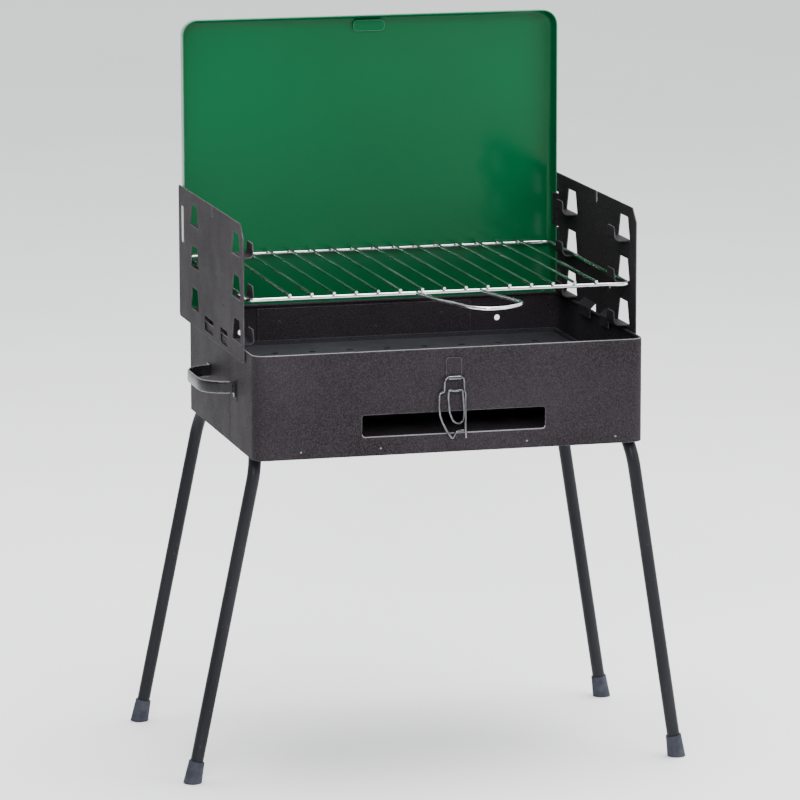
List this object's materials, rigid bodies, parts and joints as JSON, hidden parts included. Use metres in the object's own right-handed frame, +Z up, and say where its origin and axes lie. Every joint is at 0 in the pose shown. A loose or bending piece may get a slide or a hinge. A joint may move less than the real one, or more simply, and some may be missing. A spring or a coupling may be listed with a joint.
{
  "type": "portable charcoal grill",
  "caption": "Suitcase charcoal grill standing open: hinged lid as wind screen, hooked side panels, wire grate with handle, charcoal tray and folding tube legs.",
  "frame": {"origin": "on the floor under the middle of the overall bounding box", "axes": "+Z up, +X towards the grill's right side as the cook faces it, -Y towards the cook"},
  "size_m": [0.5164, 0.412, 0.7305],
  "materials": {
    "hammered_paint": "dark grey hammered paint, semi-matt",
    "green_enamel": "glossy green enamel",
    "chrome_wire": "bright chrome plate",
    "zinc_wire": "bright zinc plate",
    "leg_paint": "dark grey semi-gloss paint",
    "foot_rubber": "matt",
    "tray_steel": "bluish dark heat-proof paint",
    "handle_paint": "glossy black paint"
  },
  "bodies": {
    "box": {"box_wall": "hammered_paint", "floor_pan": "hammered_paint", "tray_rail_left": "hammered_paint", "tray_rail_right": "hammered_paint", "rear_plate": "hammered_paint", "hinge_box_leaf_left": "hammered_paint", "hinge_box_leaf_right": "hammered_paint", "hinge_pin_left": "zinc_wire", "hinge_pin_right": "zinc_wire", "leg_clip_left_front": "hammered_paint", "leg_clip_left_rear": "hammered_paint", "leg_clip_right_front": "hammered_paint", "leg_clip_right_rear": "hammered_paint", "latch_bracket": "hammered_paint", "carry_handle": "handle_paint"},
    "lid": {"lid_pan": "green_enamel", "lid_catch": "green_enamel", "hinge_lid_leaf_left": "hammered_paint", "hinge_lid_leaf_right": "hammered_paint"},
    "panel_left": {"side_panel_left": "hammered_paint"},
    "panel_right": {"side_panel_right": "hammered_paint"},
    "grate": {"grate_frame": "chrome_wire", "grate_bar_01": "chrome_wire", "grate_bar_02": "chrome_wire", "grate_bar_03": "chrome_wire", "grate_bar_04": "chrome_wire", "grate_bar_05": "chrome_wire", "grate_bar_06": "chrome_wire", "grate_bar_07": "chrome_wire", "grate_bar_08": "chrome_wire", "grate_bar_09": "chrome_wire", "grate_bar_10": "chrome_wire", "grate_bar_11": "chrome_wire", "grate_bar_12": "chrome_wire", "grate_bar_13": "chrome_wire", "grate_bar_14": "chrome_wire", "grate_bar_15": "chrome_wire", "grate_handle": "chrome_wire"},
    "tray": {"charcoal_tray": "tray_steel"},
    "leg_left": {"leg_frame_left": "leg_paint", "foot_left_front": "foot_rubber", "foot_left_rear": "foot_rubber"},
    "leg_right": {"leg_frame_right": "leg_paint", "foot_right_front": "foot_rubber", "foot_right_rear": "foot_rubber"},
    "latch_lever": {"latch_lever": "zinc_wire"},
    "latch_loop": {"latch_loop": "zinc_wire"}
  },
  "joints": [
    {"name": "lid_hinge", "type": "hinge", "parent": "box", "child": "lid", "pos_m": [0.00938, 0.17981, 0.4222], "axis": [-1, 0, 0], "range_deg": [0, 25]},
    {"name": "panel_left_lift", "type": "slide", "parent": "lid", "child": "panel_left", "axis": [0, 0, 1], "range_m": [0, 0.165]},
    {"name": "panel_right_lift", "type": "slide", "parent": "lid", "child": "panel_right", "axis": [0, 0, 1], "range_m": [0, 0.165]},
    {"name": "grate_lift", "type": "slide", "parent": "panel_left", "child": "grate", "axis": [0, 0, 1], "range_m": [0, 0.03]},
    {"name": "tray_lift", "type": "slide", "parent": "box", "child": "tray", "axis": [0, 0, 1], "range_m": [0, 0.03]},
    {"name": "leg_left_fold", "type": "hinge", "parent": "box", "child": "leg_left", "pos_m": [-0.17822, 0.02401, 0.336], "axis": [0, -1, 0], "range_deg": [0, 98.5]},
    {"name": "leg_right_fold", "type": "hinge", "parent": "box", "child": "leg_right", "pos_m": [0.19698, 0.02401, 0.336], "axis": [0, 1, 0], "range_deg": [0, 95.5]},
    {"name": "latch_swing", "type": "hinge", "parent": "box", "child": "latch_lever", "pos_m": [0.01238, -0.13119, 0.4037], "axis": [-1, 0, 0], "range_deg": [0, 95]},
    {"name": "loop_swing", "type": "hinge", "parent": "latch_lever", "child": "latch_loop", "pos_m": [0.01238, -0.13419, 0.3925], "axis": [-1, 0, 0], "range_deg": [0, 80]}
  ],
  "couplings": [
    {"joint": "panel_right_lift", "follows": "panel_left_lift", "ratio": 1}
  ]
}
